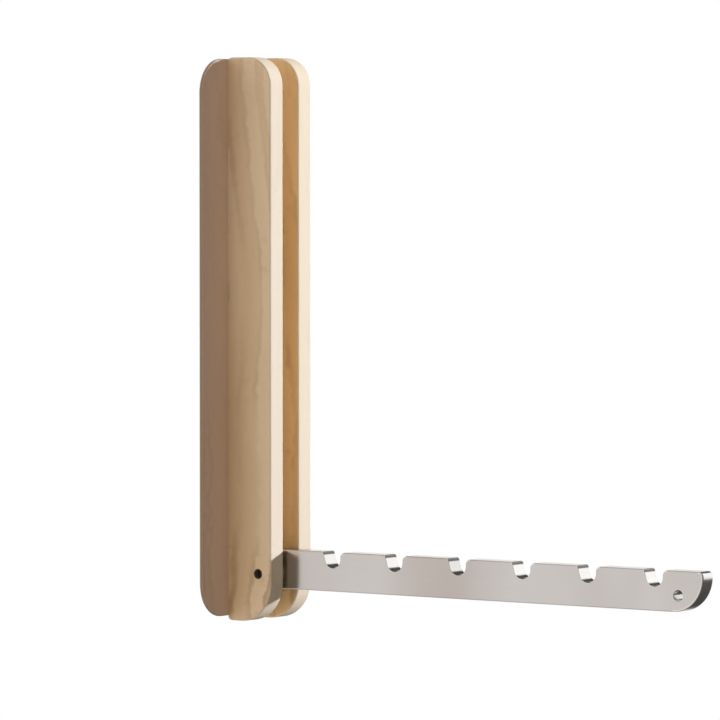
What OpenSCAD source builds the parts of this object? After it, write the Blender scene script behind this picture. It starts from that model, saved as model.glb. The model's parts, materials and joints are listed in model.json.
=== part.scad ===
// Fold-away wall hook: a maple back plate carries two maple cheeks with an open
// slot between them, and a notched stainless bar swings out of the slot on a pin.
// +Z is up, the room is on the -Y side, and the wall is the plane y = 0. The origin
// lies on the back of the plate, midway between its two wall screws.

/* [Back plate] */
// Height of the cheeks
overall_h = 357; // [320:1:420]
// Distance of the plate's top below the top of the cheeks
plate_top_set = 1; // [0:0.5:6]
// Distance of the plate's bottom above the bottom of the cheeks
plate_bottom_set = 3; // [0:0.5:6]
// Width of the plate
plate_w = 98; // [80:1:130]
// Thickness of the plate
plate_t = 9.5; // [9.5:0.5:14]
// Radius of the plate's corners, seen from the front
plate_corner_r = 21; // [14:0.5:30]
// Depth of the bevel round the back of the plate
bevel_d = 8; // [2:0.5:8]
// Width of the bevel, measured in from the plate's edge
bevel_w = 10; // [2:0.5:12]
// Distance of each wall screw from the nearer end of the cheeks
wall_screw_inset = 68; // [64:1:100]
// Diameter of a wall screw's hole
wall_screw_d = 5; // [4:0.5:6]
// Diameter of the countersink for a wall screw's head
wall_sink_d = 10; // [8:0.5:12]

/* [Cheeks] */
// Depth of a cheek, from the plate to its front
cheek_d = 33.5; // [30:0.5:40]
// Thickness of a cheek
cheek_t = 13.5; // [11:0.5:16]
// Width of the slot between the cheeks
slot_w = 16; // [14.5:0.5:20]
// Radius of a cheek's upper front corner
cheek_top_r = 18; // [10:0.5:24]
// Radius of a cheek's lower front corner
cheek_bottom_r = 24; // [20:0.5:28]
// Radius of a cheek's back corners, at the plate
cheek_back_r = 3; // [1:0.5:6]
// Radius that eases the long edges of the wood
wood_ease = 1.2; // [0.5:0.1:1.5]

/* [Pivot] */
// Height of the pivot above the bottom of the cheeks
pivot_up = 30.5; // [28:0.5:36]
// Distance from the front of the cheeks back to the pivot
pivot_set_back = 10; // [9:0.5:11]
// Diameter of the pivot pin
pin_d = 6; // [5:0.5:7]
// Depth of each pin end below the outside of its cheek
pin_recess = 4; // [1:0.5:5]
// Outside diameter of a pivot bush
bush_d = 9; // [8.5:0.5:11]
// Diameter of a bush's flange
bush_flange_d = 16; // [13:0.5:18]

/* [Arm] */
// Depth of the flat bar, from its plain edge to its notched edge
arm_h = 25; // [24:0.5:30]
// Thickness of the flat bar
arm_t = 12; // [10:0.5:12.5]
// Distance of the folded arm's tip below the top of the cheeks
tip_drop = 5; // [0:0.5:20]
// Radius that eases the long edges of the bar
arm_ease = 1; // [0.4:0.1:1.5]
// Radius of the tip's lower corner
tip_lower_r = 21.5; // [14:0.5:21.5]
// Radius of the tip's upper corner
tip_upper_r = 3.5; // [2:0.5:3.5]
// Diameter of the hole through the tip
tip_hole_d = 6.6; // [4:0.1:8]
// Distance from the tip back to the hole through it
tip_hole_inset = 17.5; // [16:0.5:24]

/* [Notches] */
// Number of notches
notch_count = 6; // [3:1:6]
// Distance from the pivot to the lip of the first notch
first_notch = 39.7; // [36:0.1:42]
// Distance from the tip back to the lip of the last notch
last_notch_inset = 41.8; // [40:0.1:60]
// Radius of the seat at the bottom of a notch
notch_r = 6; // [4:0.5:6.5]
// Depth of a notch below the arm's upper edge
notch_depth = 10.3; // [8:0.1:12]
// Distance from a notch's lip to the middle of its seat
notch_lean = 7.4; // [6.5:0.1:8]
// Radius that rounds the lip of a notch
lip_r = 1; // [0.3:0.1:1.5]
// Radius of the rounded shoulder on the tip side of a notch
shoulder_r = 3; // [2:0.1:5]

/* [Fixings and stops] */
// Diameter of the screws that hold the cheeks
cheek_screw_d = 4; // [3:0.5:4.5]
// Length of the screws that hold the cheeks
cheek_screw_l = 30; // [24:1:34]
// Distance of the outer cheek screws from the ends of the cheeks
cheek_screw_inset = 48; // [44:1:90]
// Thickness of the steel plate that the arm's heel bears on
heel_plate_t = 1.5; // [1:0.5:2]
// Width of the heel plate
heel_plate_w = 14; // [10:0.5:14]
// Length of heel plate that shows below the arm
heel_plate_foot = 12; // [10:0.5:16]
// Length of heel plate that shows above the arm
heel_plate_head = 13; // [10:0.5:16]
// Distance of the heel plate's screws from its ends
heel_screw_inset = 5.5; // [4:0.5:6]
// Diameter of the heel plate's screws
heel_screw_d = 3; // [2:0.5:3.5]
// Length of the heel plate's screws
heel_screw_l = 8; // [5:0.5:8]
// Diameter of the rubber bumper behind the folded arm
bumper_d = 10; // [8:0.5:12]
// Distance from the arm's tip back to the middle of the bumper
bumper_inset = 14; // [10:0.5:18]
// Rounding of the bumper's rim
bumper_rim = 1.5; // [0.5:0.1:2.5]
// Diameter of the bumper's stem
bumper_stem_d = 5; // [4:0.5:6]
// Length of the bumper's stem
bumper_stem_l = 6; // [4:0.5:7]

/* [Hidden] */
$fn = 96;

// Named clearances
pin_run = 0.05;     // radial running fit of the bushes on the pin
flange_gap = 0.1;   // between a bush's flange and its cheek
heel_gap = 0.05;    // between the heel and its steel plate
bumper_gap = 0.1;   // between the folded arm and the bumper
bush_end_gap = 0.2; // between the two bushes inside the arm
over = 1;           // how far a cutting shape runs past a face

// Places worked out from the driving dimensions
top_z = overall_h / 2;
bottom_z = -overall_h / 2;
plate_front_y = -plate_t;
cheek_front_y = plate_front_y - cheek_d;
cheek_mid_x = (slot_w + cheek_t) / 2;
block_w = slot_w + 2 * cheek_t;
plate_h = overall_h - plate_top_set - plate_bottom_set;
pivot_y = cheek_front_y + pivot_set_back;
pivot_z = bottom_z + pivot_up;

wall_screw_z = top_z - wall_screw_inset;
cheek_screw_z = top_z - cheek_screw_inset;

// The arm ends short of the top of the cheeks when it is folded
arm_reach = overall_h - pivot_up - tip_drop;
notch_pitch = (arm_reach - first_notch - last_notch_inset) / (notch_count - 1);

// The arm's plain edge lies flush with the cheeks when it is folded
arm_below = pivot_set_back;
arm_above = arm_h - arm_below;
heel_reach = plate_front_y - pivot_y - heel_gap;
heel_r = heel_reach - heel_gap;
bush_flange_t = (slot_w - arm_t) / 2 - flange_gap;

// The heel plate runs past both ends of the heel, so that its screws can be reached
heel_plate_low = -arm_below - heel_plate_foot;
heel_plate_high = arm_above + heel_plate_head;

// The bumper meets the plain stretch of the arm between the last notch and the tip
bumper_reach = arm_reach - bumper_inset;
bumper_h = plate_front_y - pivot_y - arm_above - bumper_gap;

// Screw heads: 90 degree countersunk, twice the shank across
cheek_head_d = cheek_screw_d * 2;
heel_head_d = heel_screw_d * 2;

// A bar's cross-section along +x, with both far corners eased by a radius
module eased_end(length, thick, ease) {
    translate([0, -thick / 2]) square([length - ease, thick]);
    translate([length - 2 * ease, -thick / 2 + ease]) square([2 * ease, thick - 2 * ease]);
    for (side = [-1, 1])
        translate([length - ease, side * (thick / 2 - ease)]) circle(ease);
}

// Half of the plate's section at its edge: x runs outwards and y runs to the wall.
// The front edge is eased, then a narrow land, then the bevel to the back.
module plate_edge(length) {
    ease_at = [length - wood_ease, wood_ease - plate_t];
    polygon([[0, -plate_t], [ease_at.x, -plate_t], ease_at, [length, ease_at.y],
        [length, -bevel_d], [length - bevel_w, 0], [0, 0]]);
    intersection() {
        translate(ease_at) circle(wood_ease);
        translate([ease_at.x, -plate_t]) square(wood_ease);
    }
}

module whole_plate_section(width) {
    for (side = [0, 1]) mirror([side, 0]) plate_edge(width / 2);
}

// The same section runs along the straight sides and turns round each corner
module plate_blank() {
    corner_x = plate_w / 2 - plate_corner_r;
    corner_z = plate_h / 2 - plate_corner_r;
    linear_extrude(2 * corner_z, center = true) whole_plate_section(plate_w);
    rotate([0, 90, 0]) linear_extrude(2 * corner_x, center = true) whole_plate_section(plate_h);
    for (x = [-corner_x, corner_x], z = [-corner_z, corner_z])
        translate([x, 0, z]) rotate([-90, 0, 0]) rotate_extrude() plate_edge(plate_corner_r);
}

// A countersunk wood screw along +Z with its head's face at z = 0 and a cross recess
module wood_screw(d, head_d, length) {
    point = d;
    sink = (head_d - d) / 2;
    recess_w = d * 0.28;
    difference() {
        union() {
            cylinder(h = sink, d1 = head_d, d2 = d);
            cylinder(h = length - point, d = d);
            translate([0, 0, length - point]) cylinder(h = point, d1 = d, d2 = d * 0.15);
        }
        for (turn = [0, 90]) rotate(turn)
            translate([-d * 0.6, -recess_w / 2, -over]) cube([d * 1.2, recess_w, over + sink * 0.55]);
    }
}

// The hole that such a screw fills, open at its head
module wood_screw_hole(d, head_d, length) {
    point = d;
    sink = (head_d - d) / 2;
    cylinder(h = sink, d1 = head_d, d2 = d);
    translate([0, 0, -over]) cylinder(h = over, d = head_d);
    cylinder(h = length - point, d = d);
    translate([0, 0, length - point]) cylinder(h = point, d1 = d, d2 = d * 0.15);
}

// Puts children along -Y, so that a screw driven from the back points to the room
module from_the_back() {
    rotate([90, 0, 0]) children();
}

// Puts children along +Y, so that a screw driven from the front points to the wall
module from_the_front(y) {
    translate([0, y, 0]) rotate([-90, 0, 0]) children();
}

module at_cheek_screws() {
    for (x = [-cheek_mid_x, cheek_mid_x], z = [-cheek_screw_z, 0, cheek_screw_z])
        translate([x, 0, z]) from_the_back() children();
}

module at_heel_screws() {
    for (z = [heel_plate_low + heel_screw_inset, heel_plate_high - heel_screw_inset])
        translate([0, 0, pivot_z + z]) from_the_front(plate_front_y) children();
}

module at_pivot() {
    translate([0, pivot_y, pivot_z]) children();
}

module heel_plate_blank() {
    translate([-heel_plate_w / 2, plate_front_y, pivot_z + heel_plate_low])
        cube([heel_plate_w, heel_plate_t, heel_plate_high - heel_plate_low]);
}

module back_plate() {
    color("burlywood") difference() {
        translate([0, 0, (plate_bottom_set - plate_top_set) / 2]) plate_blank();
        for (z = [-wall_screw_z, wall_screw_z]) translate([0, 0, z]) {
            from_the_front(plate_front_y - over) cylinder(h = plate_t + 2 * over, d = wall_screw_d);
            from_the_front(plate_front_y) cylinder(
                h = (wall_sink_d - wall_screw_d) / 2, d1 = wall_sink_d, d2 = wall_screw_d);
        }
        at_cheek_screws() wood_screw_hole(cheek_screw_d, cheek_head_d, cheek_screw_l);
        heel_plate_blank();
        at_heel_screws() wood_screw_hole(heel_screw_d, heel_head_d, heel_screw_l);
        translate([0, 0, pivot_z + bumper_reach]) from_the_front(plate_front_y)
            cylinder(h = bumper_stem_l, d = bumper_stem_d);
    }
}

// Side outline of a cheek swept across its thickness: square at the back, round at both
// front corners, with the same eased edge along the front, the ends and the corners
module cheek_blank() {
    high_z = top_z - cheek_top_r;
    low_z = bottom_z + cheek_bottom_r;
    translate([0, plate_front_y, low_z]) linear_extrude(high_z - low_z)
        rotate(-90) eased_end(cheek_d, cheek_t, wood_ease);
    translate([0, plate_front_y, high_z]) rotate([90, 0, 0])
        linear_extrude(cheek_d - cheek_top_r) rotate(90) eased_end(cheek_top_r, cheek_t, wood_ease);
    translate([0, plate_front_y, low_z]) rotate([90, 0, 0])
        linear_extrude(cheek_d - cheek_bottom_r) rotate(-90) eased_end(cheek_bottom_r, cheek_t, wood_ease);
    translate([0, cheek_front_y + cheek_top_r, high_z]) rotate([0, 90, 0])
        rotate(180) rotate_extrude(angle = 90) eased_end(cheek_top_r, cheek_t, wood_ease);
    translate([0, cheek_front_y + cheek_bottom_r, low_z]) rotate([0, 90, 0])
        rotate(-90) rotate_extrude(angle = 90) eased_end(cheek_bottom_r, cheek_t, wood_ease);
}

// Rounds a square back corner of the block; end is -1 at its bottom and 1 at its top
module back_corner_cut(end) {
    translate([0, plate_front_y - cheek_back_r, end * (top_z - cheek_back_r)])
        rotate([90, 0, 90]) linear_extrude(block_w + 2 * over, center = true) difference() {
            translate([0, end > 0 ? 0 : -cheek_back_r - over])
                square(cheek_back_r + over);
            circle(cheek_back_r);
        }
}

// side is -1 for the left cheek and 1 for the right one, seen from the room
module cheek(side) {
    color("burlywood") difference() {
        translate([side * cheek_mid_x, 0, 0]) cheek_blank();
        for (end = [-1, 1]) back_corner_cut(end);
        at_pivot() rotate([0, 90, 0]) cylinder(h = block_w + 2 * over, d = pin_d, center = true);
        at_cheek_screws() wood_screw_hole(cheek_screw_d, cheek_head_d, cheek_screw_l);
    }
}

module left_cheek() {
    cheek(-1);
}

module right_cheek() {
    cheek(1);
}

// Outline of one notch in the side view, with the tip at +x. The lip's two sides would
// meet at [0, 0] if it weren't rounded. A straight flank runs from it to the round seat,
// which opens at a rounded shoulder.
module notch() {
    seat_z = notch_r - notch_depth;
    seat = [notch_lean, seat_z];
    flank_l = sqrt(pow(norm(seat), 2) - pow(notch_r, 2));
    flank_angle = atan2(seat_z, notch_lean) - asin(notch_r / norm(seat));
    flank_way = [cos(flank_angle), sin(flank_angle)];
    lip_run = lip_r / tan((180 + flank_angle) / 2);
    far_x = notch_lean + notch_r;
    translate(seat) circle(notch_r);
    difference() {
        polygon([[-lip_run, over], [-lip_run, -lip_r], lip_run * flank_way,
            flank_l * flank_way, seat, [far_x, seat_z], [far_x, over]]);
        translate([-lip_run, -lip_r]) circle(lip_r);
    }
    difference() {
        translate([notch_lean, -shoulder_r]) square([notch_r + shoulder_r, shoulder_r + over]);
        translate([far_x + shoulder_r, -shoulder_r]) circle(shoulder_r);
    }
}

// The bar lies along -Y; its section is eased, and the tip turns through two arcs
module arm_blank() {
    straight = arm_reach - tip_lower_r;
    translate([0, heel_reach, 0]) rotate([90, 0, 0]) linear_extrude(heel_reach + straight) {
        translate([0, arm_above - 2 * arm_ease]) rotate(90) eased_end(2 * arm_ease, arm_t, arm_ease);
        translate([0, -arm_below + 2 * arm_ease]) rotate(-90) eased_end(2 * arm_ease, arm_t, arm_ease);
        translate([-arm_t / 2, -arm_below + 2 * arm_ease]) square([arm_t, arm_h - 4 * arm_ease]);
    }
    translate([0, -straight, tip_lower_r - arm_below]) rotate([0, 90, 0])
        rotate(-90) rotate_extrude(angle = 90) eased_end(tip_lower_r, arm_t, arm_ease);
    translate([0, -straight, arm_above - tip_upper_r]) rotate([90, 0, 0])
        linear_extrude(tip_lower_r - tip_upper_r) rotate(90) eased_end(tip_upper_r, arm_t, arm_ease);
    translate([0, tip_upper_r - arm_reach, arm_above - tip_upper_r]) rotate([0, 90, 0])
        rotate(180) rotate_extrude(angle = 90) eased_end(tip_upper_r, arm_t, arm_ease);
}

// Cuts the upper back corner of the heel to an arc about the pivot, so that it sweeps
// past the plate, and leaves the lower half flat, to bear on the heel plate
module heel_sweep() {
    rotate([90, 0, 90]) linear_extrude(arm_t + 2 * over, center = true) difference() {
        square([heel_reach + over, arm_above + over]);
        circle(heel_r);
    }
}

module arm() {
    color("silver") at_pivot() difference() {
        arm_blank();
        heel_sweep();
        for (i = [0 : notch_count - 1])
            translate([0, -first_notch - i * notch_pitch, arm_above])
                rotate([90, 0, -90]) linear_extrude(arm_t + 2 * over, center = true) notch();
        rotate([0, 90, 0]) cylinder(h = arm_t + 2 * over, d = bush_d, center = true);
        translate([0, tip_hole_inset - arm_reach, 0]) rotate([0, 90, 0])
            cylinder(h = arm_t + 2 * over, d = tip_hole_d, center = true);
    }
}

// A plain steel pin with chamfered ends, pressed into both cheeks
module pivot_pin() {
    pin_l = block_w - 2 * pin_recess;
    chamfer = 0.5;
    color("dimgray") at_pivot() rotate([0, 90, 0]) {
        cylinder(h = pin_l - 2 * chamfer, d = pin_d, center = true);
        for (turn = [0, 180]) rotate([turn, 0, 0]) translate([0, 0, pin_l / 2 - chamfer])
            cylinder(h = chamfer, d1 = pin_d, d2 = pin_d - 2 * chamfer);
    }
}

// A flanged bush pressed into the arm, with its flange on the cheek's side
module bush(side) {
    barrel_l = (arm_t - bush_end_gap) / 2;
    color("ivory") at_pivot() rotate([0, side * 90, 0]) difference() {
        union() {
            translate([0, 0, bush_end_gap / 2]) cylinder(h = barrel_l, d = bush_d);
            translate([0, 0, arm_t / 2]) cylinder(h = bush_flange_t, d = bush_flange_d);
        }
        translate([0, 0, -over]) cylinder(h = slot_w, d = pin_d + 2 * pin_run);
    }
}

module left_bush() {
    bush(-1);
}

module right_bush() {
    bush(1);
}

module cheek_screws() {
    color("silver") at_cheek_screws() wood_screw(cheek_screw_d, cheek_head_d, cheek_screw_l);
}

module heel_plate() {
    color("gray") difference() {
        heel_plate_blank();
        at_heel_screws() wood_screw_hole(heel_screw_d, heel_head_d, heel_screw_l);
    }
}

module heel_plate_screws() {
    color("silver") at_heel_screws() wood_screw(heel_screw_d, heel_head_d, heel_screw_l);
}

// A push-in rubber bumper: a short post with an eased rim, and a stem in the plate
module fold_bumper() {
    color("dimgray") translate([0, plate_front_y, pivot_z + bumper_reach]) {
        from_the_back() rotate_extrude() intersection() {
            eased_post(bumper_d / 2, bumper_h, bumper_rim);
            square([bumper_d, bumper_h]);
        }
        from_the_front(0) cylinder(h = bumper_stem_l, d = bumper_stem_d);
    }
}

// Half section of a post of radius r and height h, with its far rim rounded
module eased_post(r, h, rim) {
    square([r, h - rim]);
    square([r - rim, h]);
    translate([r - rim, h - rim]) circle(rim);
}

back_plate();
left_cheek();
right_cheek();
arm();
pivot_pin();
left_bush();
right_bush();
cheek_screws();
heel_plate();
heel_plate_screws();
fold_bumper();
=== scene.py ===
"""A fold-away wall hook: a maple back plate and two maple cheeks that hold a notched steel arm.

Everything is in metres in the part's own frame: +Z is up, the wall is the plane y = 0, and
the room is on the -Y side.
"""

import json
import math
import bmesh
import bpy
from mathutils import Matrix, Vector


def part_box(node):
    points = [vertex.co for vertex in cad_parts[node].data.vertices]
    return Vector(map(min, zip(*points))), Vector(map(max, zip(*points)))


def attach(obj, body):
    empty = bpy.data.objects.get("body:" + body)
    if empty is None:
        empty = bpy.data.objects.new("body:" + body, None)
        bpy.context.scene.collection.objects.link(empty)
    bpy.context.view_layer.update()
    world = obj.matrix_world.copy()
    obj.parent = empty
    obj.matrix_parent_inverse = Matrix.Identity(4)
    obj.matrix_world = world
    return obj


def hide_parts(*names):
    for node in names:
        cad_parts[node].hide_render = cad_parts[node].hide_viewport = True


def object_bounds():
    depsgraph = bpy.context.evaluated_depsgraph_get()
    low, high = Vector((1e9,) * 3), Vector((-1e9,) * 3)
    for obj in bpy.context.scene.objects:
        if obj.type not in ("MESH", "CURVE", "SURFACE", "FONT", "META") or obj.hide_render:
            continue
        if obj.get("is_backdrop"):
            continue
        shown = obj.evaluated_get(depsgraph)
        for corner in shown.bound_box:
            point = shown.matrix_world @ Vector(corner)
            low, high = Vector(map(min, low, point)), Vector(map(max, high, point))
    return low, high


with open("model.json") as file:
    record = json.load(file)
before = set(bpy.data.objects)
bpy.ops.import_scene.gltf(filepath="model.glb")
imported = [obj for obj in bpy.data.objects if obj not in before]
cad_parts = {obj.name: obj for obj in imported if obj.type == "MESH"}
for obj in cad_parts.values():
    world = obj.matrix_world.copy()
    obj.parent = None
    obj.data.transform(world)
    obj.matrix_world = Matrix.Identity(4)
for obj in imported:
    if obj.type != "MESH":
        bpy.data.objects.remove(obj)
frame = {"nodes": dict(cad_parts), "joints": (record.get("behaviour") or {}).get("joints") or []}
cad_low, cad_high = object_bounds()
joints = {joint["name"]: joint for joint in frame["joints"]}
pivot = Vector(joints["arm_fold"]["pos_m"])

# Camera. A long lens looks at the hook from its left front and slightly from above. The
# mouth of the pivot hole, in the left cheek's outer face, falls where the photograph has it.
lens_mm, sensor_mm, image_px = 250, 36, 720
azimuth, elevation = math.radians(-54), math.radians(2.06)
pivot_in_image = (258, 574)
metres_per_pixel = 0.0006324

look = Vector((-math.sin(azimuth) * math.cos(elevation),
               math.cos(azimuth) * math.cos(elevation), -math.sin(elevation)))
right = look.cross(Vector((0, 0, 1))).normalized()
up = right.cross(look)
distance = lens_mm / sensor_mm * image_px * metres_per_pixel
across = (pivot_in_image[0] - image_px / 2) * metres_per_pixel
below = (pivot_in_image[1] - image_px / 2) * metres_per_pixel
pivot_mouth = Vector((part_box("left_cheek")[0].x, pivot.y, pivot.z))

lens = bpy.data.cameras.new("camera")
lens.lens, lens.sensor_width, lens.clip_end = lens_mm, sensor_mm, 50
camera = bpy.data.objects.new("camera", lens)
camera.location = pivot_mouth - look * distance - right * across + up * below
camera.rotation_mode = "QUATERNION"
camera.rotation_quaternion = look.to_track_quat("-Z", "Y")
bpy.context.scene.collection.objects.link(camera)
bpy.context.scene.camera = camera


# Back plate. One flat-sawn maple board with round corners and a long bevel round its back.
# It is sanded, sealed and given a thin coat of satin lacquer. The tones of the wood, and where
# # it darkens, are fitted to the photograph; the dark tone of its edges and back bevel is painted shade.
class Wire:
    """The output of a node. A sum written with wires adds its Math nodes."""

    def __init__(self, graph, socket):
        self.graph, self.socket = graph, socket

    def out(self, name):
        return Wire(self.graph, self.socket.node.outputs[name])

    def math(self, operation, *terms):
        return self.graph.node("ShaderNodeMath", {"operation": operation}, dict(enumerate((self, *terms))))

    def __add__(self, other):
        return self.math("ADD", other)

    def __sub__(self, other):
        return self.math("SUBTRACT", other)

    def __rsub__(self, other):
        return self * -1.0 + other

    def __mul__(self, other):
        return self.math("MULTIPLY", other)

    def __truediv__(self, other):
        return self.math("DIVIDE", other)

    def __pow__(self, other):
        return self.math("POWER", other)

    __radd__, __rmul__ = __add__, __mul__


class Graph:
    """A node tree, filled by one method for every kind of node."""

    def __init__(self, tree):
        self.tree = tree
        tree.nodes.clear()

    def node(self, kind, settings=None, inputs=None):
        made = self.tree.nodes.new(kind)
        for name, value in (settings or {}).items():
            if name == "stops":
                stops = made.color_ramp.elements
                while len(stops) < len(value):
                    stops.new(1.0)
                for stop, (position, colour) in zip(stops, value):
                    stop.position, stop.color = position, colour
            else:
                setattr(made, name, value)
        for name, value in (inputs or {}).items():
            socket = made.inputs[name] if isinstance(name, int) else next(
                s for s in made.inputs if s.name == name and s.enabled)
            if isinstance(value, (Wire, list)):
                for wire in value if isinstance(value, list) else [value]:
                    self.tree.links.new(wire.socket, socket)
            else:
                socket.default_value = value
        return Wire(self, next((s for s in made.outputs if s.enabled), None))

    def noise(self, place, stretch, detail=2.0, roughness=0.5):
        """Noise from 0 to 1 with this many cells per metre along x, y and z."""
        cells = self.node("ShaderNodeMapping", {}, {"Vector": place, "Scale": stretch})
        return self.node("ShaderNodeTexNoise", {}, {
            "Vector": cells, "Scale": 1.0, "Detail": detail, "Roughness": roughness})

    def mix(self, factor, first, second):
        return self.node("ShaderNodeMix", {"data_type": "RGBA"}, {
            "Factor": factor, "A": first, "B": second})

    def ramp(self, value, low, high):
        """0 at low, 1 at high and smooth between them."""
        return self.node("ShaderNodeMapRange", {"interpolation_type": "SMOOTHSTEP"}, {
            "Value": value, "From Min": low, "From Max": high})

    def bump(self, height, depth, strength):
        return self.node("ShaderNodeBump", {}, {"Height": height, "Distance": depth, "Strength": strength})


def finish(name, build):
    """A material whose Principled shader takes the sockets that build(graph) returns."""
    made = bpy.data.materials.new(name)
    made.use_nodes = True
    graph = Graph(made.node_tree)
    shader = graph.node("ShaderNodeBsdfPrincipled", {}, build(graph))
    graph.node("ShaderNodeOutputMaterial", {}, {"Surface": shader})
    return made


def rgb(red, green, blue):
    return red, green, blue, 1.0


def maple(name, broad, pith, lean, bow, ring_gap, figure, low_dark_and_wall_shade, tones):
    """Maple from a trunk whose pith lies off the board at pith, turned by lean and bowed along z.

    The broad faces look along the axis broad. The tones are their wood, its darker wood, and the
    tone of the other faces, which is partly their own grain and partly painted light: painted
    highlight on the cheeks' lit fronts and painted shade on the plate's edges. The figure is how
    strongly the growth lines show, most of all low down, and the argument after it sets how much
    the wood darkens towards the bottom, most of all along the wall side, where the darkening is
    painted shade of the corner with the plate.
    """
    face, deep, narrow = (rgb(*tone) for tone in tones)
    latewood, pore, bore_shade = rgb(0.44, 0.26, 0.12), rgb(0.40, 0.23, 0.11), rgb(0.10, 0.055, 0.03)
    fully_low, not_low = -0.15, 0.12
    wall_shade_from, wall_shade_full = -0.027, -0.0095
    bore_inside, bore_outside = 0.0031, 0.0035

    def build(graph):
        coordinates = graph.node("ShaderNodeTexCoord")
        place = coordinates.out("Object")
        sides = graph.node("ShaderNodeSeparateXYZ", {}, {"Vector": coordinates.out("Normal")})
        board = graph.node("ShaderNodeSeparateXYZ", {}, {"Vector": place})
        trunk = graph.node("ShaderNodeMapping", {}, {"Vector": place, "Location": pith, "Rotation": lean})
        axes = graph.node("ShaderNodeSeparateXYZ", {}, {"Vector": trunk})
        x, y, z = axes.out("X"), axes.out("Y"), axes.out("Z")
        curved = y - z * z * bow
        sway = graph.noise(trunk, (14, 14, 11), 1.0) - 0.5
        jog = graph.noise(trunk, (60, 60, 75), 2.0, 0.6) - 0.5
        radius = (x * x + curved * curved) ** 0.5 + sway * 0.014 + jog * 0.008
        season = graph.node("ShaderNodeTexNoise", {"noise_dimensions": "1D"}, {
            "W": radius / ring_gap, "Scale": 1.0, "Detail": 0.0})
        line = 1 - graph.ramp((season - 0.5).math("ABSOLUTE"), 0.0, 0.11)
        strength = graph.ramp(graph.noise(trunk, (35, 35, 14), 1.0), 0.36, 0.64) * 0.85 + 0.15
        cloud = graph.ramp(graph.noise(place, (30, 30, 12), 2.0), 0.3, 0.75)
        mottle = graph.noise(place, (260, 260, 110), 2.0, 0.6)
        smudge = graph.ramp(graph.noise(place, (95, 95, 170), 1.0), 0.56, 0.74) * strength
        fibre = graph.noise(place, (1300, 1300, 40), 3.0, 0.6)
        pores = graph.ramp(graph.noise(place, (2600, 2600, 260), 1.0), 0.60, 0.74)
        narrow_face = 1 - graph.ramp(sides.out(broad).math("ABSOLUTE"), 0.6, 0.98)
        late = graph.ramp(season, 0.46, 0.62)
        low = 1 - graph.ramp(board.out("Z"), fully_low, not_low)
        # Darker towards the bottom; along the wall side this is painted shade of the corner with the
        # plate.
        dark = low * (graph.ramp(board.out("Y"), wall_shade_from, wall_shade_full) * 0.75 + 0.25) * low_dark_and_wall_shade
        wood = graph.mix(late * figure * 1.3 + cloud * 0.30 + mottle * 0.25 + dark, face, deep)
        # Narrow faces take the third tone: partly their own grain, partly painted light (highlight on lit
        # fronts, shade on the plate's edges).
        wood = graph.mix(narrow_face * 0.9, wood, narrow)
        figured = (line * strength + smudge * 0.3) * figure * (low * 1.1 + 1)
        wood = graph.mix(figured * (1 - narrow_face * 0.85), wood, latewood)
        wood = graph.mix(fibre * 0.10 + pores * 0.12, wood, pore)
        # Painted shade: the wood darkens inside the pivot hole and its recess.
        from_pivot = ((board.out("Y") - pivot.y) ** 2.0 + (board.out("Z") - pivot.z) ** 2.0) ** 0.5
        wood = graph.mix((1 - graph.ramp(from_pivot, bore_inside, bore_outside)) * 0.85, wood, bore_shade)
        return {
            "Base Color": wood,
            "Roughness": fibre * 0.16 + narrow_face * 0.30 + 0.34,
            "Normal": graph.bump(fibre - pores * 0.4, 0.00006, 0.35),
            "Specular IOR Level": 0.25,
            "Coat Weight": (1 - narrow_face) * 0.15,
            "Coat Roughness": 0.25,
        }

    return finish(name, build)


def dress(node, material):
    """Gives a node of the frame its finish."""
    node_object = frame["nodes"][node]
    node_object.data.materials.clear()
    node_object.data.materials.append(material)


# The third tone, on the plate's edges and back bevel, is painted shade.
plate_tones = (0.96, 0.71, 0.54), (0.87, 0.63, 0.46), (0.36, 0.25, 0.19)
plate_wood = maple("maple_plate", "Y", (0.012, 0.055, 0.0), (0.05, 0.012, 0.0), 0.3, 0.007, 0.08, 0.45,
                   plate_tones)
dress("back_plate", plate_wood)

# Cheeks. Two maple boards on edge, 16 mm apart, with round front corners and eased edges.
# Each is its own board, so the grain differs, and both are drilled for the pivot pin.
# The paler third tone on their fronts is partly their own grain and partly painted highlight; near the
# wall they darken as painted shade.
left_tones = (0.92, 0.71, 0.47), (0.78, 0.56, 0.33), (0.92, 0.75, 0.55)
right_tones = (0.96, 0.68, 0.35), (0.87, 0.58, 0.26), (0.92, 0.75, 0.55)
left_wood = maple("maple_left", "X", (0.030, 0.085, 0.0), (0.012, 0.006, 0.0), 0.4, 0.013, 0.32, 1.15,
                  left_tones)
right_wood = maple("maple_right", "X", (-0.034, 0.090, 0.1), (-0.012, 0.010, 0.0), 0.5, 0.011, 0.32, 0.6,
                   right_tones)
dress("left_cheek", left_wood)
dress("right_cheek", right_wood)

# Arm. A length of stainless flat bar, brushed along its sides, with six notches milled into
# its upper edge. The notch walls and the tip are ground bright, across the bar.
arm_low, arm_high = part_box("arm")
reach, heel = pivot.y - arm_low.y, arm_high.y - pivot.y
above, under = arm_high.z - pivot.z, arm_low.z - pivot.z
half_bar = (arm_high.x - arm_low.x) / 2
first_lip, notch_pitch, notch_count = 0.0397, 0.048, 6
notch_lips = [first_lip + notch_pitch * i for i in range(notch_count)]
notch_seat, seat_r, lip_r, shoulder_r = (0.0074, -0.0043), 0.006, 0.001, 0.003
tip_lower_r, tip_upper_r = 0.0215, 0.0035
tip_hole, tip_hole_r, bush_hole_r = 0.0175, 0.0033, 0.0045
heel_relief, heel_flat_top = 0.00005, -0.0005
bar_ease, milled_ease, hole_ease = 0.001, 0.00025, 0.0004
BRUSHED, GROUND, DRILLED = 0, 1, 2


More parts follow.
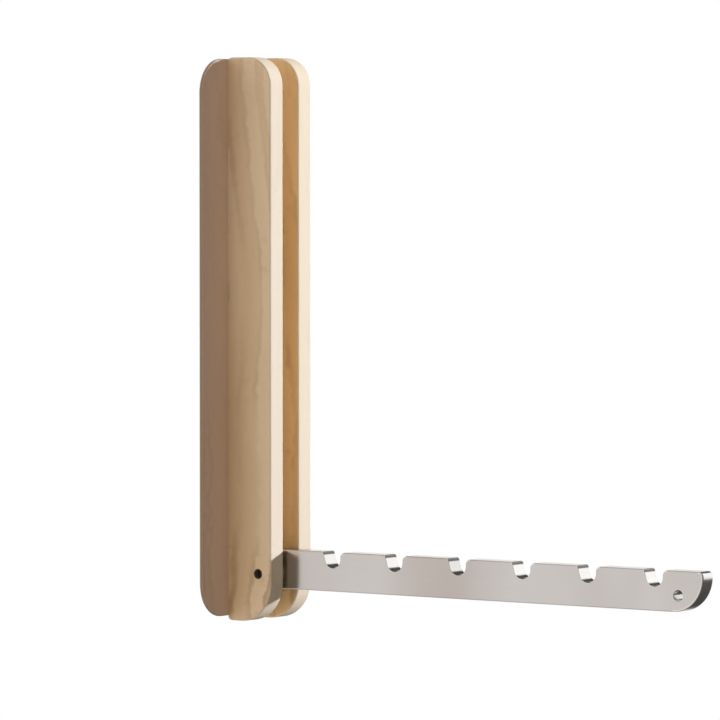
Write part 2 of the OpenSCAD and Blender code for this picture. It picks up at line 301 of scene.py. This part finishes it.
def arc(centre, radius, start, end, steps):
    """Points along an arc, its angles in degrees, both ends included."""
    angles = [math.radians(start + (end - start) * i / steps) for i in range(steps + 1)]
    return [Vector((centre[0] + radius * math.cos(a), centre[1] + radius * math.sin(a))) for a in angles]


def run(points, ease, kind, last_ease=None):
    """Points of an outline, each with the easing and the finish of the edge that follows it."""
    last_ease = ease if last_ease is None else last_ease
    count = max(len(points) - 1, 1)
    return [(point, ease + (last_ease - ease) * i / count, kind) for i, point in enumerate(points)]


def notch(lip):
    """One notch from its round shoulder, on the tip side, down to the seat and up to the lip."""
    seat = Vector((lip + notch_seat[0], above + notch_seat[1]))
    flank_angle = (math.atan2(notch_seat[1], notch_seat[0])
                   - math.asin(seat_r / Vector(notch_seat).length))
    lip_run = lip_r / math.tan((math.pi + flank_angle) / 2)
    flank_faces = math.degrees(flank_angle) + 90
    shoulder = arc((seat.x + seat_r + shoulder_r, above - shoulder_r), shoulder_r, 90, 180, 12)
    bottom = arc(seat, seat_r, 0, flank_faces - 180, 26)
    edge = arc((lip - lip_run, above - lip_r), lip_r, flank_faces, 90, 6)
    return (run(shoulder, bar_ease, GROUND, milled_ease) + run(bottom, milled_ease, GROUND)
            + run(edge[:-1], milled_ease, GROUND, bar_ease) + run(edge[-1:], bar_ease, BRUSHED))


outline = run([Vector((-heel, under))], bar_ease, BRUSHED)
outline += run(arc((reach - tip_lower_r, under + tip_lower_r), tip_lower_r, -90, 0, 32),
               bar_ease, GROUND)
outline += run(arc((reach - tip_upper_r, above - tip_upper_r), tip_upper_r, 0, 90, 10)[1:],
               bar_ease, GROUND)
outline[-1] = (outline[-1][0], bar_ease, BRUSHED)
for lip in reversed(notch_lips):
    outline += notch(lip)
heel_r = heel - heel_relief
sweep_start = 180 - math.degrees(math.asin(above / heel_r))
outline += run(arc((0, 0), heel_r, sweep_start, 180, 12), milled_ease, BRUSHED)
outline += run([Vector((-heel, heel_flat_top))], milled_ease, BRUSHED)
holes = [run(arc((0, 0), bush_hole_r, 0, -360, 48)[:-1], milled_ease, DRILLED),
         run(arc((reach - tip_hole, 0), tip_hole_r, 0, -360, 48)[:-1], hole_ease, DRILLED)]


def easings(loop):
    """How far each point of a loop moves in as its edges are eased."""
    moves, sharp_turn = [], 0.3
    for i, (point, ease, _) in enumerate(loop):
        before, after = point - loop[i - 1][0], loop[(i + 1) % len(loop)][0] - point
        n0, n1 = (Vector((way.y, -way.x)).normalized() for way in (before, after))
        e0 = loop[i - 1][1]
        turn = n0.cross(n1)
        if abs(turn) > sharp_turn:
            corner = n0 * ease - n1 * e0
            moves.append(Vector((corner.y, -corner.x)) / turn)
        else:
            moves.append((n0 + n1).normalized() * -(e0 + ease) / 2)
    return moves


def slab(name, loops, half, place, materials):
    """A flat bar between x = -half and x = half: its outline, then its holes, with eased edges."""
    steps = 5
    mesh = bmesh.new()
    turns = [math.radians(90 * i / steps) for i in range(steps + 1)]
    caps = {-1: [], 1: []}
    for loop in loops:
        moves = easings(loop)
        levels = [(-1, a) for a in reversed(turns)] + [(1, a) for a in turns]
        rings = []
        for side, a in levels:
            ring = []
            for (point, ease, _), move in zip(loop, moves):
                spot = point + move * (1 - math.cos(a))
                ring.append(mesh.verts.new(place(side * (half - ease * (1 - math.sin(a))), spot)))
            rings.append(ring)
        for lower, upper in zip(rings, rings[1:]):
            for i, (_, _, kind) in enumerate(loop):
                j = (i + 1) % len(loop)
                face = mesh.faces.new((lower[i], lower[j], upper[j], upper[i]))
                face.material_index = kind
        for side, ring in ((-1, rings[0]), (1, rings[-1])):
            caps[side] += [mesh.edges.get((ring[i - 1], ring[i])) for i in range(len(ring))]
    for edges in caps.values():
        bmesh.ops.triangle_fill(mesh, use_beauty=True, edges=edges)
    bmesh.ops.remove_doubles(mesh, verts=mesh.verts, dist=1e-6)
    bmesh.ops.recalc_face_normals(mesh, faces=mesh.faces)
    return settle(name, mesh, materials)


def settle(name, mesh, materials):
    """Turns a bmesh into an object with smooth faces, creases above an angle and flat flats."""
    crease = math.radians(32)
    data = bpy.data.meshes.new(name)
    mesh.to_mesh(data)
    mesh.free()
    data.shade_smooth()
    data.set_sharp_from_angle(angle=crease)
    for material in materials:
        data.materials.append(material)
    made = bpy.data.objects.new(name, data)
    bpy.context.scene.collection.objects.link(made)
    made.modifiers.new("flats", "WEIGHTED_NORMAL").keep_sharp = True
    freeze(made)
    return made


def freeze(made):
    """Applies an object's modifiers and keeps the plain mesh."""
    graph = bpy.context.evaluated_depsgraph_get()
    data = bpy.data.meshes.new_from_object(made.evaluated_get(graph), depsgraph=graph)
    made.modifiers.clear()
    made.data = data


def steel(name, stretch, dark, light, roughness, depth, lip_dark_reflection=0.0):
    """Steel whose scratches run along the axis that has the fewest cells.

    Its darker patches along the arm are painted reflection, fitted to the photograph. So is the lip
    shade, a dark strip under each lip of the arm, painted in as a dark reflection; which shape of
    the real lip gives that reflection is not known.
    """
    dark_reflection_spots, dark_reflection_reach = (0.130, 0.025), 0.055

    def build(graph):
        coordinates = graph.node("ShaderNodeTexCoord")
        place = coordinates.out("Object")
        axes = graph.node("ShaderNodeSeparateXYZ", {}, {"Vector": place})
        streak = graph.noise(place, stretch, 4.0, 0.65)
        patch = graph.ramp(graph.noise(place, (9, 24, 9), 1.0), 0.3, 0.7)
        # Painted reflection: the sides darken in two patches along the arm.
        out = pivot.y - axes.out("Y")
        painted_reflection = (graph.ramp((out - dark_reflection_spots[0]).math("ABSOLUTE"), 0.0, dark_reflection_reach)
                 * (graph.ramp((out - dark_reflection_spots[1]).math("ABSOLUTE"), 0.0, dark_reflection_reach) * 0.6 + 0.4))
        colour = graph.mix(painted_reflection * 0.45 + patch * 0.25 + streak * 0.3, rgb(*dark), rgb(*light))
        # Painted reflection: a dark strip on the tip-facing flank just under each lip.
        if lip_dark_reflection:
            faces = graph.node("ShaderNodeSeparateXYZ", {}, {"Vector": coordinates.out("Normal")})
            top = pivot.z + above
            strip = (graph.ramp(axes.out("Z"), top - 0.0024, top - 0.0016)
                     * (1 - graph.ramp(axes.out("Z"), top - 0.0007, top - 0.0002))
                     * graph.ramp(axes.out("Y"), arm_low.y + 0.006, arm_low.y + 0.012)
                     * graph.ramp(faces.out("Y") * -1.0, 0.2, 0.6))
            colour = graph.mix(strip * lip_dark_reflection, colour, rgb(0.05, 0.045, 0.04))
        return {
            "Base Color": colour,
            "Metallic": 1.0,
            "Roughness": streak * 0.10 + roughness,
            "Normal": graph.bump(streak, depth, 0.5),
        }
    return finish(name, build)


brushed = steel("steel_brushed", (2200, 16, 2200), (0.445, 0.395, 0.365), (0.58, 0.57, 0.57), 0.13,
                0.00001)
ground = steel("steel_ground", (20, 2600, 2600), (0.60, 0.58, 0.56), (0.80, 0.79, 0.77), 0.14,
               0.00002, lip_dark_reflection=0.88)
drilled = steel("steel_drilled", (2400, 300, 300), (0.18, 0.17, 0.16), (0.80, 0.79, 0.78), 0.18, 0.00002)
arm = slab("notched_arm", [outline, *holes], half_bar,
           lambda x, spot: (x, pivot.y - spot.x, pivot.z + spot.y), [brushed, ground, drilled])
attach(arm, "arm")
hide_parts("arm")


# Pivot pin and bushes. A ground steel pin is pressed into both cheeks, and the arm turns on it
# through two flanged nylon bushes, whose flanges keep it in the middle of the slot.
def nylon(graph):
    place = graph.node("ShaderNodeTexCoord").out("Object")
    grain = graph.noise(place, (900, 900, 900), 2.0)
    return {
        "Base Color": graph.mix(grain, rgb(0.70, 0.67, 0.58), rgb(0.78, 0.75, 0.67)),
        "Roughness": grain * 0.15 + 0.38,
        "Normal": graph.bump(grain, 0.00003, 0.3),
        "Subsurface Weight": 0.2,
        "Subsurface Scale": 0.002,
    }


nylon_finish = finish("nylon", nylon)
for name in ("left_bush", "right_bush"):
    dress(name, nylon_finish)
# The pin is toned near black: painted shade for its ends, which lie deep in their holes.
pin_painted_shade = steel("steel_pin_painted_shade", (300, 2400, 2400), (0.05, 0.042, 0.04), (0.11, 0.10, 0.10), 0.42, 0.00002)
dress("pivot_pin", pin_painted_shade)

# Heel plate. A strip of stainless let into the back plate behind the pivot, that the heel of
# the arm bears on. Two small countersunk screws hold it.
strip = steel("steel_strip", (2200, 2200, 16), (0.50, 0.49, 0.48), (0.68, 0.67, 0.65), 0.30, 0.00001)
dress("heel_plate", strip)

# Screws. Six long countersunk wood screws hold the cheeks from the back of the plate, and two
# short ones hold the heel plate. All are zinc plated, with a cross recess and a rolled thread.
def screw_tree():
    """Geometry nodes that set rows and columns of one screw, modelled along +Z from its head."""
    tree = bpy.data.node_groups.new("wood_screws", "GeometryNodeTree")
    graph = Graph(tree)
    for kind, names in {"Float": ("Shank", "Head", "Length", "Pitch"), "Int": ("Rows", "Columns"),
                        "Vector": ("First", "Row Step", "Column Step", "Turn"),
                        "Material": ("Finish",)}.items():
        for name in names:
            tree.interface.new_socket(name, in_out="INPUT", socket_type="NodeSocket" + kind)
    tree.interface.new_socket("Screws", in_out="OUTPUT", socket_type="NodeSocketGeometry")
    given = graph.node("NodeGroupInput")
    shank, head, length = (given.out(name) for name in ("Shank", "Head", "Length"))
    root = shank * 0.36

    def vector(x, y, z):
        return graph.node("ShaderNodeCombineXYZ", {}, {"X": x, "Y": y, "Z": z})

    def sweep(curve, sides, radius, scale):
        profile = graph.node("GeometryNodeCurvePrimitiveCircle", {}, {
            "Resolution": sides, "Radius": radius})
        return graph.node("GeometryNodeCurveToMesh", {}, {
            "Curve": curve, "Profile Curve": profile, "Scale": scale, "Fill Caps": True})

    axis = graph.node("GeometryNodeCurvePrimitiveLine", {}, {"End": vector(0.0, 0.0, length)})
    axis = graph.node("GeometryNodeResampleCurve", {}, {"Curve": axis, "Count": 70})
    position = graph.node("GeometryNodeInputPosition")
    depth = graph.node("ShaderNodeSeparateXYZ", {}, {"Vector": position}).out("Z")
    under_head = (head / 2 - depth).math("MAXIMUM", root)
    core = sweep(axis, 28, 1.0, under_head.math("MINIMUM", (length - depth) / 2 + root * 0.15))
    slot_l, slot_w, slot_d = shank * 1.2, shank * 0.28, (head - shank) * 0.55
    cross = [graph.node("GeometryNodeMeshCube", {}, {"Size": vector(*size)})
             for size in ((slot_l, slot_w, slot_d), (slot_w, slot_l, slot_d))]
    core = graph.node("GeometryNodeMeshBoolean", {"operation": "DIFFERENCE", "solver": "EXACT"}, {
        "Mesh 1": core, "Mesh 2": cross})

    thread_l = length * 0.62 - shank
    helix = graph.node("GeometryNodeCurveSpiral", {}, {
        "Resolution": 20, "Rotations": thread_l / given.out("Pitch"), "Start Radius": root,
        "End Radius": root, "Height": thread_l})
    from_end = graph.node("GeometryNodeSplineParameter").out("Factor").math("PINGPONG", 0.5)
    thread = sweep(helix, 4, shank / 2 - root, (from_end * 16 + 0.05).math("MINIMUM", 1.0))
    thread = graph.node("GeometryNodeTransform", {}, {
        "Geometry": thread, "Translation": vector(0.0, 0.0, length * 0.38)})
    screw = graph.node("GeometryNodeJoinGeometry", {}, {"Geometry": [core, thread]})

    row = graph.node("GeometryNodeMeshLine", {}, {
        "Count": given.out("Rows"), "Start Location": given.out("First"), "Offset": given.out("Row Step")})
    columns = graph.node("GeometryNodeMeshLine", {}, {
        "Count": given.out("Columns"), "Offset": given.out("Column Step")})
    places = graph.node("GeometryNodeRealizeInstances", {}, {
        "Geometry": graph.node("GeometryNodeInstanceOnPoints", {}, {"Points": columns, "Instance": row})})
    turn = graph.node("FunctionNodeEulerToRotation", {}, {"Euler": given.out("Turn")})
    screws = graph.node("GeometryNodeInstanceOnPoints", {}, {
        "Points": places, "Instance": screw, "Rotation": turn})
    screws = graph.node("GeometryNodeRealizeInstances", {}, {"Geometry": screws})
    screws = graph.node("GeometryNodeSetMaterial", {}, {
        "Geometry": screws, "Material": given.out("Finish")})
    graph.node("NodeGroupOutput", {}, {"Screws": screws})
    return tree


wood_screws = screw_tree()
zinc = steel("zinc", (500, 500, 500), (0.50, 0.51, 0.53), (0.66, 0.67, 0.69), 0.28, 0.00001)


def fix_screws(name, node, sizes):
    """Makes the screws that stand for a node of the frame, from the inputs of their tree."""
    made = bpy.data.objects.new(name, bpy.data.meshes.new(name))
    bpy.context.scene.collection.objects.link(made)
    rows = made.modifiers.new("rows", "NODES")
    rows.node_group = wood_screws
    sizes["Finish"] = zinc
    for socket in wood_screws.interface.items_tree:
        if socket.name in sizes:
            rows[socket.identifier] = sizes[socket.name]
    freeze(made)
    made.data.shade_smooth()
    made.data.set_sharp_from_angle(angle=math.radians(40))
    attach(made, "base")
    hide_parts(node)


low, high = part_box("cheek_screws")
head_d = 0.008
fix_screws("threaded_cheek_screws", "cheek_screws", {
    "Shank": head_d / 2, "Head": head_d, "Length": high.y - low.y, "Pitch": 0.0018,
    "First": (low.x + head_d / 2, high.y, low.z + head_d / 2), "Turn": (math.pi / 2, 0, 0),
    "Rows": 3, "Row Step": (0, 0, (high.z - low.z - head_d) / 2),
    "Columns": 2, "Column Step": (high.x - low.x - head_d, 0, 0)})
low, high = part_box("heel_plate_screws")
head_d = 0.006
fix_screws("threaded_heel_screws", "heel_plate_screws", {
    "Shank": head_d / 2, "Head": head_d, "Length": high.y - low.y, "Pitch": 0.0012,
    "First": (0, low.y, low.z + head_d / 2), "Turn": (-math.pi / 2, 0, 0),
    "Rows": 2, "Row Step": (0, 0, high.z - low.z - head_d), "Columns": 1, "Column Step": (0, 0, 0)})


# Fold bumper. A post of black rubber whose stem is pushed into the back plate. It stands
# behind the tip of the folded arm.
def rubber(graph):
    place = graph.node("ShaderNodeTexCoord").out("Object")
    grain = graph.noise(place, (1500, 1500, 1500), 3.0)
    return {
        "Base Color": graph.mix(grain, rgb(0.012, 0.012, 0.012), rgb(0.035, 0.034, 0.033)),
        "Roughness": grain * 0.2 + 0.55,
        "Normal": graph.bump(grain, 0.00005, 0.5),
    }


dress("fold_bumper", finish("rubber", rubber))

# Studio. A small hard key lights the fronts from the right front, a softbox there shows only in
# reflections, and a weak warm panel lifts the undersides. The surroundings are bright behind the
# hook, overhead and at the far right, and dim in front. Backdrop and floor are white or nearly so.
world = bpy.data.worlds.new("studio")
bpy.context.scene.world = world
world.use_nodes = True
sky = Graph(world.node_tree)
way = sky.node("ShaderNodeSeparateXYZ", {}, {"Vector": sky.node("ShaderNodeTexCoord").out("Generated")})
to_right = sky.ramp(way.out("X"), 0.0, 0.4)
bright = ((sky.ramp(way.out("Y"), -0.8, 0.2) * 0.87 + 0.13) * (1 - to_right)
          + sky.ramp(way.out("Y"), 0.30, 0.56) * to_right)
bright = bright.math("MAXIMUM", sky.ramp(way.out("Z"), 0.70, 0.92) * 0.8)
bright = bright.math("MAXIMUM", sky.ramp(way.out("X"), 0.90, 0.98) * 0.7)
dim_room, bright_room = rgb(0.09, 0.085, 0.08), rgb(1.06, 1.03, 1.00)
lit = sky.mix(bright, dim_room, bright_room)
level = 1 - sky.ramp(way.out("Z").math("ABSOLUTE"), 0.25, 0.95) * 0.35
seen = sky.node("ShaderNodeLightPath").out("Is Camera Ray")
sky.node("ShaderNodeOutputWorld", {}, {"Surface": sky.node("ShaderNodeBackground", {}, {
    "Color": sky.mix(seen, lit, rgb(1, 1, 1)), "Strength": level.math("MAXIMUM", seen)})})
bpy.context.scene.view_settings.view_transform = "Standard"


def panel(name, direction, away, width, height, watts, colour=(1, 1, 1)):
    """A rectangular light that faces the middle of the hook."""
    light = bpy.data.lights.new(name, "AREA")
    light.shape, light.size, light.size_y, light.energy = "RECTANGLE", width, height, watts
    light.color = colour
    made = bpy.data.objects.new(name, light)
    towards = Vector(direction).normalized()
    made.location = (cad_low + cad_high) / 2 + towards * away
    made.rotation_mode = "QUATERNION"
    made.rotation_quaternion = (-towards).to_track_quat("-Z", "Y")
    made.visible_camera = False
    bpy.context.scene.collection.objects.link(made)
    return made


key = panel("key", (0.67, -0.70, 0.212), 2.6, 0.18, 0.18, 87, (0.90, 1.01, 1.20))
bounce = panel("bounce", (0.35, -0.15, -0.92), 1.2, 0.5, 0.5, 1.5, (1.0, 0.85, 0.65))
key.visible_glossy = bounce.visible_glossy = False
softbox = panel("softbox", (0.90, -0.40, 0.20), 3.0, 1.85, 2.3, 16.5)
softbox.visible_diffuse = False

floor_r, floor_depth = 4, 1
floor_mesh = bmesh.new()
bmesh.ops.create_circle(floor_mesh, cap_ends=True, radius=floor_r, segments=96)
floor_data = bpy.data.meshes.new("floor")
bmesh.ops.translate(floor_mesh, verts=floor_mesh.verts, vec=(0, 0, -floor_depth))
floor_mesh.to_mesh(floor_data)
floor = bpy.data.objects.new("floor", floor_data)
bpy.context.scene.collection.objects.link(floor)


def pale(graph):
    place = graph.node("ShaderNodeTexCoord").out("Object")
    cloud = graph.noise(place, (3, 3, 3))
    return {
        "Base Color": graph.mix(cloud, rgb(0.10, 0.10, 0.10), rgb(0.14, 0.14, 0.14)),
        "Emission Color": graph.mix(cloud, rgb(0.84, 0.84, 0.83), rgb(0.90, 0.90, 0.89)),
        "Emission Strength": 1.0,
        "Roughness": 0.8,
    }


floor_data.materials.append(finish("pale_floor", pale))
floor.visible_glossy, floor.visible_diffuse = False, False
floor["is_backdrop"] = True

low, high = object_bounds()
